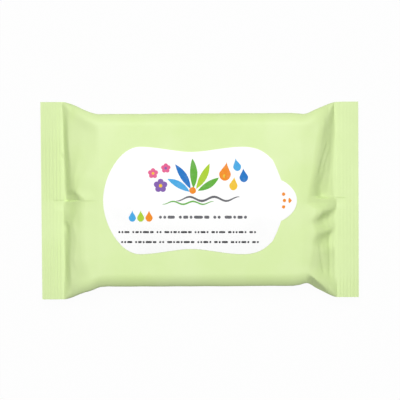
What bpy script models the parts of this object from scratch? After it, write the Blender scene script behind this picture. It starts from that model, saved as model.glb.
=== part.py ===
"""Pocket pack of wet wipes: a sealed film bag with crimped ends, and the peel label over its opening.

The bag is one tube of film around a folded stack of wipes. Its two ends are pressed flat and crimped,
and the tube's own long seam is a fin that lies folded flat along the underside.
The white label is a separate adhesive sheet, with a round tab for the finger at its +X end.

Metres, +Z up. X runs along the pack towards the label's tab. The origin is under the middle of the pack,
on the surface that it lies on.
"""

import math

import bmesh
import bpy

MM = 0.001

# Body, the part of the bag that the stack of wipes fills
BODY_LENGTH = 108.0 * MM
BODY_WIDTH = 87.4 * MM
BODY_HEIGHT = 17.0 * MM
EDGE_RADIUS = 6.0 * MM
CROWN = 0.8 * MM
SHOULDER_RUN = 3.5 * MM

# Ends, where the tube slopes down to a flat crimped fin at half height
SLOPE_RUN = 15.0 * MM
FIN_DEPTH = 11.0 * MM
FIN_THICKNESS = 0.5 * MM
RIB_COUNT = 6
RIB_PITCH = 1.75 * MM
RIB_HEIGHT = 0.18 * MM

# Long seam, a fin folded flat on the underside
SEAM_WIDTH = 12.0 * MM
SEAM_STEP = 0.35 * MM
SEAM_TENT = 9.0 * MM
SEAM_EDGE = 0.3 * MM

# Peel label
LABEL_LENGTH = 90.0 * MM
LABEL_WIDTH = 54.0 * MM
LABEL_WAIST = 48.8 * MM
LABEL_LEFT_END = -49.0 * MM
LABEL_THICKNESS = 0.25 * MM
LABEL_GAP = 0.3 * MM
LABEL_MESH_STEP = 7.0 * MM
TAB_RADIUS = 10.9 * MM
TAB_REACH = 7.7 * MM

# How finely the film is divided
BODY_STATIONS = 12
SLOPE_STATIONS = 14
FLAT_COLUMNS = 10
SIDE_COLUMNS = 8

# What follows from those sizes
HALF_BODY = BODY_LENGTH / 2
FIN_START = HALF_BODY + SLOPE_RUN
PACK_END = FIN_START + FIN_DEPTH
SLOPE_START = HALF_BODY - SHOULDER_RUN
MID_HEIGHT = BODY_HEIGHT / 2
HALF_HEIGHT = (BODY_HEIGHT - FIN_THICKNESS) / 2
FIN_SPAN = BODY_WIDTH + BODY_HEIGHT - (4 - math.pi) * EDGE_RADIUS

FILM_GREEN = (0.74, 0.88, 0.44, 1.0)
LABEL_WHITE = (0.95, 0.95, 0.94, 1.0)


class End:
    """One end of the bag: how its slope swells, tucks and creases.

    A tuck is where one long edge is drawn in beside the stack's corner: (distance from the middle, depth).
    Folds are (along, across, along, across, width, depth): a crease from one point to another.
    along runs from 0 at the body to 1 at the fin, across from -1 to 1 over the fin's span,
    width is a share of the slope's run and depth a share of half the height. A ridge has a negative depth.
    """

    def __init__(self, side, swell, near_tuck, far_tuck, lift, top_folds, under_folds):
        self.side = side
        self.swell = swell
        self.near_tuck = near_tuck
        self.far_tuck = far_tuck
        self.lift = lift
        self.top_folds = top_folds
        self.under_folds = under_folds


LEFT_END = End(
    side=-1,
    swell=(2.3, 0.9),
    near_tuck=(49.0 * MM, 0.5 * MM),
    far_tuck=(51.0 * MM, 0.1 * MM),
    lift=0.5 * MM,
    top_folds=[
        (0.58, 0.03, 0.86, 0.06, 0.24, 0.30),
        (0.50, -0.05, 0.95, -0.05, 0.18, -0.12),
        (0.55, -0.09, 0.84, -0.24, 0.22, 0.22),
        (0.85, -0.35, 0.80, -0.85, 0.16, 0.16),
        (0.85, 0.20, 0.88, 0.80, 0.14, 0.14),
    ],
    under_folds=[
        (0.50, 0.10, 0.80, 0.45, 0.20, 0.24),
        (0.55, -0.30, 0.80, -0.60, 0.20, 0.20),
    ],
)

RIGHT_END = End(
    side=1,
    swell=(1.7, 1.25),
    near_tuck=(54.4 * MM, 1.9 * MM),
    far_tuck=(53.5 * MM, 0.7 * MM),
    lift=-0.3 * MM,
    top_folds=[
        (0.66, 0.06, 0.80, 0.36, 0.22, 0.26),
        (0.84, 0.45, 0.93, 0.85, 0.12, 0.08),
        (0.38, 0.10, 0.48, 0.45, 0.22, -0.09),
        (0.35, -0.02, 0.95, -0.03, 0.18, -0.16),
        (0.84, -0.09, 0.54, -0.18, 0.20, 0.30),
        (0.82, -0.31, 0.58, -0.38, 0.18, 0.26),
        (0.62, -0.44, 0.68, -0.80, 0.20, 0.16),
    ],
    under_folds=[
        (0.45, 0.15, 0.75, 0.40, 0.20, 0.24),
        (0.50, -0.25, 0.75, -0.70, 0.20, 0.20),
    ],
)


def smooth_step(value):
    """0 below 0, 1 above 1, and a smooth rise between."""
    share = min(1.0, max(0.0, value))
    return share * share * (3 - 2 * share)


def end_of(x):
    return RIGHT_END if x > 0 else LEFT_END


def along_slope(x):
    """0 where the body ends, 1 where the fin starts."""
    return min(1.0, max(0.0, (abs(x) - SLOPE_START) / (FIN_START - SLOPE_START)))


def height_share(x):
    """How much of the bag's half height is left at this station, 1 in the body and 0 in the fin."""
    power, steepness = end_of(x).swell
    return (1 - along_slope(x) ** power) ** steepness


def half_width(x, y_side):
    """The bag's half width: it pinches in beside the stack's corner, then flares out to the fin."""
    end = end_of(x)
    place, depth = end.near_tuck if y_side < 0 else end.far_tuck
    pinch = math.exp(-(((abs(x) - place) / SHOULDER_RUN) ** 2))
    flare = smooth_step(along_slope(x))
    return BODY_WIDTH / 2 + (FIN_SPAN - BODY_WIDTH) / 2 * flare - depth * pinch


def section_point(x, girth):
    """The film at a distance along its girth from the middle line: y, and height off the mid plane."""
    width = half_width(x, girth)
    height = HALF_HEIGHT * height_share(x)
    radius = min(EDGE_RADIUS, height)
    flat = width - radius
    corner = radius * math.pi / 2
    wall = height - radius
    reach = abs(girth) / (FIN_SPAN / 2) * (flat + corner + wall)
    if reach <= flat:
        y, z = reach, height
    elif reach < flat + corner:
        angle = (reach - flat) / radius
        y = flat + radius * math.sin(angle)
        z = wall + radius * math.cos(angle)
    else:
        y, z = width, flat + corner + wall - reach
    return math.copysign(y, girth), z


def crease(x, y, fold):
    """How deep one fold is at a point of the slope."""
    along_1, across_1, along_2, across_2, width, depth = fold
    run = FIN_START - SLOPE_START
    start_x = SLOPE_START + along_1 * run
    start_y = across_1 * FIN_SPAN / 2
    step_x = (along_2 - along_1) * run
    step_y = (across_2 - across_1) * FIN_SPAN / 2
    offset_x = abs(x) - start_x
    offset_y = y - start_y
    share = (offset_x * step_x + offset_y * step_y) / (step_x**2 + step_y**2)
    share = min(1.0, max(0.0, share))
    miss = math.hypot(offset_x - share * step_x, offset_y - share * step_y)
    return depth * HALF_HEIGHT * math.exp(-((miss / (width * SLOPE_RUN)) ** 2))


def creased(x, y, z, folds):
    """The height off the mid plane once the folds press the film in. It never crosses the mid plane."""
    room = smooth_step(2.5 * z / HALF_HEIGHT) * smooth_step(4 * along_slope(x))
    return max(0.0, z - room * sum(crease(x, y, fold) for fold in folds))


def rib_wave(x):
    """The crimp of the fin, a zigzag of equal ribs."""
    turns = (abs(x) - FIN_START) / RIB_PITCH
    margin = (FIN_DEPTH / RIB_PITCH - RIB_COUNT) / 2
    phase = turns - margin
    if not 0 < phase < RIB_COUNT:
        return 0.0
    return RIB_HEIGHT * (1 - 4 * abs(phase % 1 - 0.5))


def fin_lift(x):
    """The fins don't lie quite level: each bends a little up or down towards its cut edge."""
    share = max(0.0, (abs(x) - SLOPE_START) / (PACK_END - SLOPE_START))
    return end_of(x).lift * share**2


def seam_step(x, y):
    """The underside stands off a little beside the folded seam and comes back down further out."""
    beside = max(y, -SEAM_WIDTH - y)
    if beside <= 0:
        return 0.0
    rise = min(1.0, beside / SEAM_EDGE)
    fall = 1 - smooth_step(beside / SEAM_TENT)
    return SEAM_STEP * rise * fall * height_share(x)


def top_height(x, y, z):
    """The top film's height above the table."""
    bulge = CROWN * (1 - (2 * y / BODY_WIDTH) ** 2) * (1 - along_slope(x)) if z > 0 else 0.0
    level = creased(x, y, z, end_of(x).top_folds)
    return MID_HEIGHT + FIN_THICKNESS / 2 + level + max(0.0, bulge) + rib_wave(x) + fin_lift(x)


def under_height(x, y, z):
    """The underside film's height above the table."""
    level = creased(x, y, z, end_of(x).under_folds)
    return MID_HEIGHT - FIN_THICKNESS / 2 - level + seam_step(x, y) + rib_wave(x) + fin_lift(x)


def spread(low, high, count):
    """count + 1 even values from low to high."""
    return [low + (high - low) * i / count for i in range(count + 1)]


def stations():
    """Where the film's rings stand along X, closest together in the slopes and on each rib."""
    crimp_start = FIN_START + (FIN_DEPTH - RIB_COUNT * RIB_PITCH) / 2
    ribs = spread(crimp_start, crimp_start + RIB_COUNT * RIB_PITCH, 2 * RIB_COUNT)
    slope = spread(SLOPE_START, FIN_START, SLOPE_STATIONS)
    half = slope[1:] + ribs + [PACK_END]
    body = spread(-SLOPE_START, SLOPE_START, BODY_STATIONS)
    return sorted([-x for x in half] + body + half)


def side_girths():
    """The film's lines round the corner and down the side, as distances from the middle line."""
    start = BODY_WIDTH / 2 - EDGE_RADIUS
    return spread(start, FIN_SPAN / 2, SIDE_COLUMNS)


def top_girths():
    """The top film's lines, closer together near the middle, where the seam stiffens the ends."""
    flat = BODY_WIDTH / 2 - EDGE_RADIUS
    inner = [flat * share**1.35 for share in spread(0, 1, FLAT_COLUMNS)]
    half = inner[1:] + side_girths()[1:]
    return sorted([-g for g in half] + [0.0] + half)


def under_girths():
    """The underside's lines, as many as the top's, with a close pair at each edge of the seam."""
    flat = BODY_WIDTH / 2 - EDGE_RADIUS
    beyond = FLAT_COLUMNS - 1
    within = 3
    outside = 2 * FLAT_COLUMNS + 1 - (beyond + 1) - (within + 1) - 1
    lines = spread(-flat, -SEAM_WIDTH - SEAM_EDGE, outside)
    lines += spread(-SEAM_WIDTH, 0.0, within)
    lines += spread(SEAM_EDGE, flat, beyond)
    sides = side_girths()[1:]
    return sorted([-g for g in sides] + lines + sides)


def film_sheet(bm, girths, height_of):
    """One sheet of film, a grid laid over the pack: returns its vertices."""
    rings = stations()
    made = bmesh.ops.create_grid(bm, x_segments=len(rings) - 1, y_segments=len(girths) - 1, size=1.0)
    for vert in made["verts"]:
        ring = round((vert.co.x + 1) / 2 * (len(rings) - 1))
        line = round((vert.co.y + 1) / 2 * (len(girths) - 1))
        x = rings[ring]
        y, z = section_point(x, girths[line])
        vert.co = (x, y, height_of(x, y, z))
    return made["verts"]


def faces_of(verts):
    return list({face for vert in verts for face in vert.link_faces})


def rim_of(verts):
    return [edge for edge in {e for v in verts for e in v.link_edges} if edge.is_boundary]


def film_pack():
    """The bag: a top sheet and an underside, joined all round their rims."""
    bm = bmesh.new()
    top = film_sheet(bm, top_girths(), top_height)
    under = film_sheet(bm, under_girths(), under_height)
    bmesh.ops.reverse_faces(bm, faces=faces_of(under))
    bmesh.ops.bridge_loops(bm, edges=rim_of(top) + rim_of(under))
    bmesh.ops.recalc_face_normals(bm, faces=bm.faces)
    return mesh_object("film_pack", bm, FILM_GREEN, roughness=0.45)


def label_points():
    """The label's outline as Bezier knots (point, handle before, handle after), from its left end over
    the far side to the tab's tip and back. Its two long sides each dip to a shallow waist.
    """
    left = LABEL_LEFT_END
    right = left + LABEL_LENGTH
    half = LABEL_WIDTH / 2
    waist = LABEL_WAIST / 2
    left_lobe = left + 18.5 * MM
    right_lobe = right - 19.5 * MM
    middle = (left_lobe + right_lobe) / 2
    shoulder = (right - 4.4 * MM, half - 6.8 * MM)
    neck_y = TAB_RADIUS * 0.93
    neck = (right - 0.2 * MM, neck_y)
    tip = right + TAB_REACH
    far = [
        ((left, 0.0), (0.0, -12 * MM), (0.0, 12 * MM)),
        ((left_lobe, half), (-10 * MM, 0.0), (9 * MM, 0.0)),
        ((middle, waist), (-8 * MM, 0.0), (8 * MM, 0.0)),
        ((right_lobe, half), (-9 * MM, 0.0), (8 * MM, 0.0)),
        (shoulder, (-3.2 * MM, 3.6 * MM), (1.6 * MM, -3.0 * MM)),
        (neck, (-0.9 * MM, 2.6 * MM), (2.2 * MM, -0.6 * MM)),
        ((tip, 0.0), (0.0, 5.6 * MM), (0.0, -5.6 * MM)),
    ]
    near = [((x, -y), (ax, -ay), (bx, -by)) for (x, y), (bx, by), (ax, ay) in far[-2:0:-1]]
    return far + near


def label_sheet():
    """The label's flat outline, cut into a net and draped on the crown of the bag."""
    curve = bpy.data.curves.new("label_outline", "CURVE")
    curve.dimensions = "2D"
    curve.fill_mode = "BOTH"
    curve.resolution_u = 6
    knots = label_points()
    spline = curve.splines.new("BEZIER")
    spline.bezier_points.add(len(knots) - 1)
    spline.use_cyclic_u = True
    for point, ((x, y), (bx, by), (ax, ay)) in zip(spline.bezier_points, knots):
        point.handle_left_type = point.handle_right_type = "FREE"
        point.co = (x, y, 0.0)
        point.handle_left = (x + bx, y + by, 0.0)
        point.handle_right = (x + ax, y + ay, 0.0)
    outline = bpy.data.objects.new("label_outline", curve)
    bpy.context.scene.collection.objects.link(outline)
    bpy.context.view_layer.update()
    evaluated = outline.evaluated_get(bpy.context.evaluated_depsgraph_get())
    flat = bpy.data.meshes.new_from_object(evaluated)
    bpy.data.objects.remove(outline)
    bm = bmesh.new()
    bm.from_mesh(flat)
    bpy.data.meshes.remove(flat)
    bmesh.ops.remove_doubles(bm, verts=bm.verts, dist=0.01 * MM)
    bmesh.ops.dissolve_limit(bm, angle_limit=0.01, verts=bm.verts, edges=bm.edges)
    for axis, reach in ((0, LABEL_LENGTH), (1, LABEL_WIDTH)):
        count = int(reach / LABEL_MESH_STEP)
        for cut in range(-count, count + 1):
            place = [0.0, 0.0, 0.0]
            normal = [0.0, 0.0, 0.0]
            place[axis] = cut * LABEL_MESH_STEP
            normal[axis] = 1.0
            geom = bm.verts[:] + bm.edges[:] + bm.faces[:]
            bmesh.ops.bisect_plane(bm, geom=geom, plane_co=place, plane_no=normal, dist=0.01 * MM)
    for vert in bm.verts:
        vert.co.z = top_height(vert.co.x, vert.co.y, HALF_HEIGHT) + LABEL_GAP
    for face in bm.faces:
        if face.normal.z < 0:
            face.normal_flip()
    return bm


def peel_label():
    """The label: the draped sheet, given its thickness upwards."""
    label = mesh_object("peel_label", label_sheet(), LABEL_WHITE, roughness=0.35)
    wall = label.modifiers.new("thickness", "SOLIDIFY")
    wall.thickness = LABEL_THICKNESS
    wall.offset = 1.0
    return label


def mesh_object(name, bm, colour, roughness):
    """A new object of this bmesh, in its own material, shaded smooth but for its sharp edges."""
    mesh = bpy.data.meshes.new(name)
    bm.to_mesh(mesh)
    bm.free()
    mesh.shade_smooth()
    mesh.set_sharp_from_angle(angle=math.radians(40))
    material = bpy.data.materials.new(name)
    material.use_nodes = True
    shader = material.node_tree.nodes["Principled BSDF"]
    shader.inputs["Base Color"].default_value = colour
    shader.inputs["Roughness"].default_value = roughness
    shader.inputs["Metallic"].default_value = 0.0
    mesh.materials.append(material)
    made = bpy.data.objects.new(name, mesh)
    parts_collection().objects.link(made)
    return made


def parts_collection():
    found = bpy.data.collections.get("wet_wipes_pack")
    if found is None:
        found = bpy.data.collections.new("wet_wipes_pack")
        bpy.context.scene.collection.children.link(found)
    return found


for old in list(bpy.data.objects):
    bpy.data.objects.remove(old)
film_pack()
peel_label()
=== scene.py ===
# %% [markdown]
# # A pocket pack of wet wipes
#
# The real pack is one tube of printed film around a folded stack of damp wipes. Both ends of the tube are
# pressed flat between ribbed jaws, and a white label is glued over the opening on top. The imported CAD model
# gives the sizes, and this lesson lays a finer film, label and seam over it, in metres and in the same frame.
# X runs along the pack towards the label's finger tab, Y across it, and Z up from the table.

import math

import bmesh
import bpy
import numpy as np
from mathutils import Matrix, Vector, noise


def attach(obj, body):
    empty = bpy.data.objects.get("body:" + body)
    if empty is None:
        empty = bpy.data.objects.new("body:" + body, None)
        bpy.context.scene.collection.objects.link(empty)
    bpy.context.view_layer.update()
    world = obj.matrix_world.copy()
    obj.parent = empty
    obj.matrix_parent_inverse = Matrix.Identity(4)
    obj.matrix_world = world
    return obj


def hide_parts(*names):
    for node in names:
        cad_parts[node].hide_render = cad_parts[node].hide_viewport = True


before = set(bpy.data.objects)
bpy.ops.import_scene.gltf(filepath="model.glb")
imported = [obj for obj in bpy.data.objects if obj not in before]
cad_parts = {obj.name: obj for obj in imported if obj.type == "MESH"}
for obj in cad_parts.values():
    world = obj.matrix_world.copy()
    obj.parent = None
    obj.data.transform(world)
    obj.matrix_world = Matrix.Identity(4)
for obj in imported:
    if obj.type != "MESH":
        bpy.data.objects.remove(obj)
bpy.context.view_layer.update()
MM = 0.001

# %% [markdown]
# ## The sizes
#
# A flat fin is half of the film tube's girth, so the fin's span follows from the body's width and height.
# Everything below is worked out from these few lengths, as it is in the CAD source.

# %% Sizes of the bag and its ends
BODY_WIDTH = 87.4 * MM
BODY_HEIGHT = 17.0 * MM
EDGE_RADIUS = 6.0 * MM
CROWN = 0.8 * MM
SLOPE_START = 50.5 * MM
FIN_START = 69.0 * MM
PACK_END = 80.0 * MM
FIN_THICKNESS = 0.5 * MM
RIB_COUNT = 6
RIB_PITCH = 1.75 * MM
RIB_HEIGHT = 0.2 * MM
SEAM_WIDTH = 12.0 * MM
SEAM_STEP = 0.35 * MM
SEAM_TENT = 9.0 * MM

EDGE_ARC = 8.0 * MM
EDGE_TURN = math.radians(50)
EDGE_FOLD = 1.0 * MM
EDGE_DROP = EDGE_ARC * (1 - math.cos(EDGE_TURN)) + EDGE_FOLD * math.cos(EDGE_TURN)
MID_HEIGHT = BODY_HEIGHT / 2
HALF_HEIGHT = (BODY_HEIGHT - FIN_THICKNESS) / 2
FIN_SPAN = BODY_WIDTH + BODY_HEIGHT - (4 - math.pi) * EDGE_RADIUS
print(f"fin span {FIN_SPAN / MM:.2f} mm")

# %% [markdown]
# ## How each end falls to its fin
#
# From above, the two ends of the photographed pack differ. On the left the film drops steeply right beside
# the fin. On the right it lands earlier, along a slanting line, and leaves a strip of film lying flat.
# The middle of each end is told by rows across the pack. A row has four points down the slope, each a
# distance from the pack's middle and a height, and then the distance of the foot. A height of 1 is the body's
# full height, and 0 is level with the fin. Beside each corner the fall follows one curve instead, and there
# the long edges tuck in or swell out, where the stack of wipes ends.

# %% The two ends, row by row
LEFT, RIGHT = -1, 1
# power and steepness of the fall beside each corner, and the distance of its foot
SWELL = {
    (LEFT, -1): (2.7, 1.2, 69.0 * MM),
    (LEFT, 1): (2.0, 1.0, 69.0 * MM),
    (RIGHT, -1): (2.0, 0.95, 69.0 * MM),
    (RIGHT, 1): (2.8, 0.95, 67.8 * MM),
}
# how far each fin slants along X, how far its cut edge lifts, and by what share its span is short
FIN_SKEW = {LEFT: 0.30 * MM, RIGHT: 0.1 * MM}
FIN_LIFT = {LEFT: 0.5 * MM, RIGHT: -0.3 * MM}
FIN_SHORTER = {LEFT: -0.003, RIGHT: 0.006}
# side, edge, distance from the middle, how far the edge tucks in (out if negative), reach
TUCKS = [
    (LEFT, -1, 49.0 * MM, 0.3 * MM, 3.5 * MM),
    (LEFT, -1, 54.8 * MM, -0.95 * MM, 4.5 * MM),
    (LEFT, 1, 51.0 * MM, 0.1 * MM, 3.5 * MM),
    (RIGHT, -1, 54.2 * MM, 1.7 * MM, 3.5 * MM),
    (RIGHT, -1, 60.8 * MM, 0.95 * MM, 5.0 * MM),
    (RIGHT, 1, 53.5 * MM, 0.6 * MM, 3.5 * MM),
    (RIGHT, 1, 62.0 * MM, 0.45 * MM, 6.0 * MM),
]
SHOULDER = 51.0 * MM
# The near right corner is folded to one flat facet: its slope, and where it begins along X and across.
FACET_LEAN = 1.65
FACET_START = 53.0 * MM
FACET_RUN = 4.0 * MM
FACET_SIDE = 20.0 * MM
# y, four points (distance, share) from the shoulder down, and the distance of the foot
SLOPE_ROWS = {
    LEFT: [
        (-49, (56.0, 0.90), (60.0, 0.70), (64.9, 0.42), (67.4, 0.10), 68.6),
        (-40, (56.0, 0.92), (60.0, 0.76), (65.2, 0.52), (67.6, 0.10), 68.5),
        (-30, (58.9, 0.94), (63.6, 0.73), (65.8, 0.50), (67.8, 0.05), 68.2),
        (-20, (59.4, 0.94), (62.4, 0.81), (64.9, 0.56), (67.2, 0.15), 68.4),
        (-15.5, (59.4, 0.94), (63.0, 0.79), (65.4, 0.54), (67.2, 0.10), 68.6),
        (-13.4, (59.6, 0.93), (64.0, 0.71), (65.6, 0.46), (67.2, 0.03), 68.6),
        (-11, (59.8, 0.93), (64.0, 0.66), (66.2, 0.36), (68.0, 0.08), 69.0),
        (-6, (59.9, 0.93), (62.4, 0.72), (65.9, 0.26), (67.9, 0.07), 69.0),
        (-4, (59.6, 0.92), (62.4, 0.66), (65.2, 0.27), (67.6, 0.07), 69.0),
        (-2, (59.2, 0.92), (62.2, 0.64), (65.0, 0.29), (67.6, 0.07), 69.0),
        (-0.5, (59.2, 0.92), (62.2, 0.64), (65.0, 0.29), (67.6, 0.07), 69.0),
        (-0.2, (59.4, 0.95), (61.2, 0.66), (64.8, 0.16), (67.5, -0.10), 68.2),
        (1.6, (60.5, 0.94), (62.0, 0.68), (65.3, 0.20), (67.6, -0.06), 68.2),
        (3.0, (61.6, 0.91), (63.0, 0.62), (65.6, 0.20), (67.5, -0.03), 68.1),
        (4.6, (62.8, 0.87), (64.3, 0.64), (65.9, 0.32), (67.2, 0.02), 67.9),
        (6, (61.4, 0.89), (63.6, 0.74), (65.4, 0.48), (67.0, 0.10), 67.9),
        (8, (60.6, 0.91), (63.2, 0.78), (65.2, 0.54), (66.8, 0.16), 68.0),
        (11, (59.0, 0.94), (63.4, 0.78), (65.2, 0.60), (67.0, 0.12), 68.0),
        (15, (56.0, 0.96), (62.6, 0.78), (65.0, 0.57), (67.4, 0.08), 68.0),
        (25, (53.0, 0.96), (60.0, 0.78), (66.0, 0.52), (67.6, 0.12), 68.3),
        (35, (52.5, 0.95), (59.4, 0.71), (66.4, 0.42), (68.0, 0.10), 68.6),
        (49, (52.5, 0.95), (59.0, 0.70), (66.2, 0.40), (68.0, 0.10), 68.8),
    ],
    RIGHT: [
        (-49, (55.0, 0.91), (59.4, 0.70), (63.0, 0.42), (66.4, 0.14), 68.2),
        (-42, (54.8, 0.91), (59.0, 0.68), (62.6, 0.38), (66.0, 0.11), 68.0),
        (-35, (54.6, 0.91), (58.4, 0.70), (61.6, 0.42), (65.2, 0.13), 67.6),
        (-26, (56.6, 0.92), (59.4, 0.75), (62.0, 0.52), (65.6, 0.17), 67.8),
        (-22, (56.8, 0.92), (59.0, 0.70), (61.2, 0.42), (64.2, 0.11), 66.8),
        (-19.6, (57.4, 0.93), (59.6, 0.70), (62.0, 0.34), (65.0, 0.05), 67.2),
        (-17.4, (58.6, 0.94), (60.8, 0.74), (62.8, 0.50), (65.4, 0.03), 67.4),
        (-15.4, (58.2, 0.94), (61.6, 0.70), (64.2, 0.42), (66.6, 0.12), 67.8),
        (-13.6, (57.4, 0.94), (60.2, 0.66), (63.4, 0.28), (66.2, 0.10), 68.2),
        (-11.8, (56.4, 0.95), (59.0, 0.70), (61.6, 0.38), (64.8, 0.16), 67.8),
        (-10.2, (56.8, 0.98), (59.2, 0.80), (61.2, 0.42), (64.4, 0.11), 67.4),
        (-8.4, (58.2, 0.98), (60.6, 0.85), (62.6, 0.43), (65.0, 0.10), 67.4),
        (-6.4, (59.2, 0.98), (61.6, 0.87), (63.8, 0.50), (66.2, 0.12), 67.7),
        (-4.6, (58.4, 0.96), (61.8, 0.82), (64.8, 0.52), (67.4, 0.16), 68.6),
        (-2.8, (54.0, 0.96), (58.2, 0.78), (62.4, 0.52), (66.6, 0.22), 69.0),
        (0.2, (54.6, 0.96), (57.8, 0.79), (62.0, 0.49), (66.4, 0.20), 69.0),
        (1.7, (54.8, 0.96), (57.4, 0.76), (60.4, 0.28), (64.0, 0.14), 67.4),
        (3.0, (55.2, 0.96), (57.6, 0.78), (60.4, 0.31), (64.0, 0.13), 67.2),
        (5.6, (55.4, 0.96), (57.4, 0.80), (60.0, 0.41), (64.4, 0.10), 67.0),
        (15, (57.4, 0.92), (59.2, 0.80), (63.1, 0.26), (65.6, 0.04), 67.0),
        (25, (58.4, 0.92), (60.6, 0.80), (63.2, 0.50), (66.0, 0.08), 67.4),
        (35, (60.4, 0.88), (62.3, 0.76), (64.2, 0.45), (66.6, 0.12), 68.0),
        (44, (58.6, 0.93), (62.6, 0.79), (65.2, 0.52), (67.0, 0.12), 67.7),
        (49, (58.4, 0.93), (62.4, 0.78), (65.2, 0.50), (67.2, 0.12), 67.9),
    ],
}
print(len(SLOPE_ROWS[LEFT]), "rows on the left end,", len(SLOPE_ROWS[RIGHT]), "on the right end")

# %% [markdown]
# ## Creases
#
# Film that is stiff along the back seam and slack beside it falls into a few sharp creases near each fin.
# A crease is a line on the pack with a depth, and a width to each side of it. Equal widths make a notch, and
# a wide side beside a narrow one makes a step. The bottom is rounded only a little, because film bends
# sharply, and the crease fades out at both ends.

# %% The creases, in millimetres on the pack seen from above
# side, points of the line (distance from the middle, y), widths to its left and right, depth, roundness
TOP_FOLDS = [
    (LEFT, [(74.6, -0.1), (69.0, -0.1), (64.5, -0.1)], (5.0, 0.4), 0.32, 0.3),
    (LEFT, [(70.4, 48.4), (68.6, 45.0)], (0.7, 0.7), 0.25, 0.3),
    (LEFT, [(69.9, 24.0), (69.3, 20.5)], (0.8, 0.8), 0.25, 0.3),
    (RIGHT, [(64.6, 29.6), (61.6, 20.0), (59.4, 11.0)], (1.6, 0.8), 0.45, 0.3),
    (RIGHT, [(65.4, 25.5), (63.8, 20.0), (61.9, 14.0)], (1.4, 0.7), 0.22, 0.3),
    (RIGHT, [(63.5, 0.6), (68.0, 0.7), (74.0, 0.7)], (0.4, 5.0), 0.34, 0.3),
    (RIGHT, [(59.6, -21.0), (60.6, -29.0), (62.2, -38.6)], (1.8, 0.7), 0.35, 0.3),
    (RIGHT, [(64.8, -18.0), (64.9, -29.0), (65.1, -40.0)], (1.8, 0.7), 0.35, 0.3),
]
UNDER_FOLDS = [
    (LEFT, [(58.0, 6.0), (65.5, 22.0)], (3.2, 3.2), 1.7, 0.6),
    (LEFT, [(60.0, -15.0), (65.5, -31.0)], (3.0, 3.0), 1.5, 0.6),
    (LEFT, [(66.5, 34.0), (63.0, 44.0)], (2.2, 2.2), 0.8, 0.5),
    (RIGHT, [(57.5, 8.0), (64.5, 21.0)], (3.2, 3.2), 1.7, 0.6),
    (RIGHT, [(59.0, -13.0), (64.5, -34.0)], (3.0, 3.0), 1.5, 0.6),
    (RIGHT, [(66.0, 30.0), (62.0, 42.0)], (2.2, 2.2), 0.8, 0.5),
]
print(len(TOP_FOLDS), "creases on the top,", len(UNDER_FOLDS), "on the underside")

# %% How deep a crease is
FADE_SHARE = 0.35
FADE_LONGEST = 4.0 * MM
FADE_START = 0.1


def smooth_step(value):
    """0 below 0, 1 above 1, and a smooth rise between."""
    share = np.clip(value, 0.0, 1.0)
    return share * share * (3 - 2 * share)


def fold_depth(u, y, line, widths, depth, roundness):
    """How deep one crease is at points a distance u from the middle."""
    points = np.array(line) * MM
    steps = np.diff(points, axis=0)
    lengths = np.hypot(steps[:, 0], steps[:, 1])
    total = lengths.sum()
    nearest = np.full(u.shape, np.inf)
    along = np.zeros(u.shape)
    width = np.ones(u.shape)
    walked = 0.0
    for start, step, length in zip(points, steps, lengths):
        share = ((u - start[0]) * step[0] + (y - start[1]) * step[1]) / length**2
        share = np.clip(share, 0.0, 1.0)
        miss = np.hypot(u - start[0] - share * step[0], y - start[1] - share * step[1])
        on_left = step[0] * (y - start[1]) - step[1] * (u - start[0]) > 0
        closer = miss < nearest
        nearest = np.where(closer, miss, nearest)
        along = np.where(closer, walked + share * length, along)
        width = np.where(closer, np.where(on_left, widths[0], widths[1]) * MM, width)
        walked += length
    fade = min(FADE_SHARE * total, FADE_LONGEST)
    taper = smooth_step(along / fade + FADE_START) * smooth_step((total - along) / fade + FADE_START)
    across = (np.hypot(nearest / width, roundness) - roundness) / (math.hypot(1, roundness) - roundness)
    return depth * MM * taper * np.clip(1 - across, 0.0, 1.0)


def creases(x, y, folds):
    """All the creases of one sheet of film, added up."""
    total = np.zeros(x.shape)
    for side, line, widths, depth, roundness in folds:
        total += np.where(side * x > 0, fold_depth(np.abs(x), y, line, widths, depth, roundness), 0.0)
    return total


# %% [markdown]
# ## The film's shape
#
# A ring of film keeps its girth all along the pack: in the body it is a rounded box, and towards the fin the
# box grows wider and flatter until it is a flat line. So the film is built as rings on lines of equal girth,
# which is how real film is folded, and no line of it stretches. Each long edge of a ring is a soft arc that
# ends in a sharp fold, and below the fold the wall goes straight down.

# %% Half width and half height of a ring
HAND_OVER = 15.0 * MM


def by_side(x, table):
    """A value of the left or of the right end for every point."""
    return np.where(x > 0, table[RIGHT], table[LEFT])


def along_slope(x):
    """0 where the body ends, 1 where the fin starts."""
    return np.clip((np.abs(x) - SLOPE_START) / (FIN_START - SLOPE_START), 0.0, 1.0)


def corner_share(x, power, steepness, foot):
    """How much of the bag's half height is left beside one corner."""
    along = np.clip((np.abs(x) - SLOPE_START) / (foot - SLOPE_START), 0.0, 1.0)
    return (1 - along**power) ** steepness


def height_share(x, y):
    """How much of the bag's half height is left near the long edges, 1 in the body and 0 in the fin."""
    share = {corner: corner_share(x, *fall) for corner, fall in SWELL.items()}
    far = smooth_step((y + HAND_OVER) / (2 * HAND_OVER))
    left = share[LEFT, -1] + far * (share[LEFT, 1] - share[LEFT, -1])
    right = share[RIGHT, -1] + far * (share[RIGHT, 1] - share[RIGHT, -1])
    return np.where(x > 0, right, left)


def half_width(x, y_sign):
    """The bag's half width: it tucks in beside the stack's corners, then flares out to the fin."""
    width = BODY_WIDTH / 2 + (FIN_SPAN - BODY_WIDTH) / 2 * smooth_step(along_slope(x))
    for side, edge, place, depth, reach in TUCKS:
        tuck = depth * np.exp(-(((np.abs(x) - place) / reach) ** 2))
        width = width - np.where((side * x > 0) & (edge * y_sign > 0), tuck, 0.0)
    return width


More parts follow.
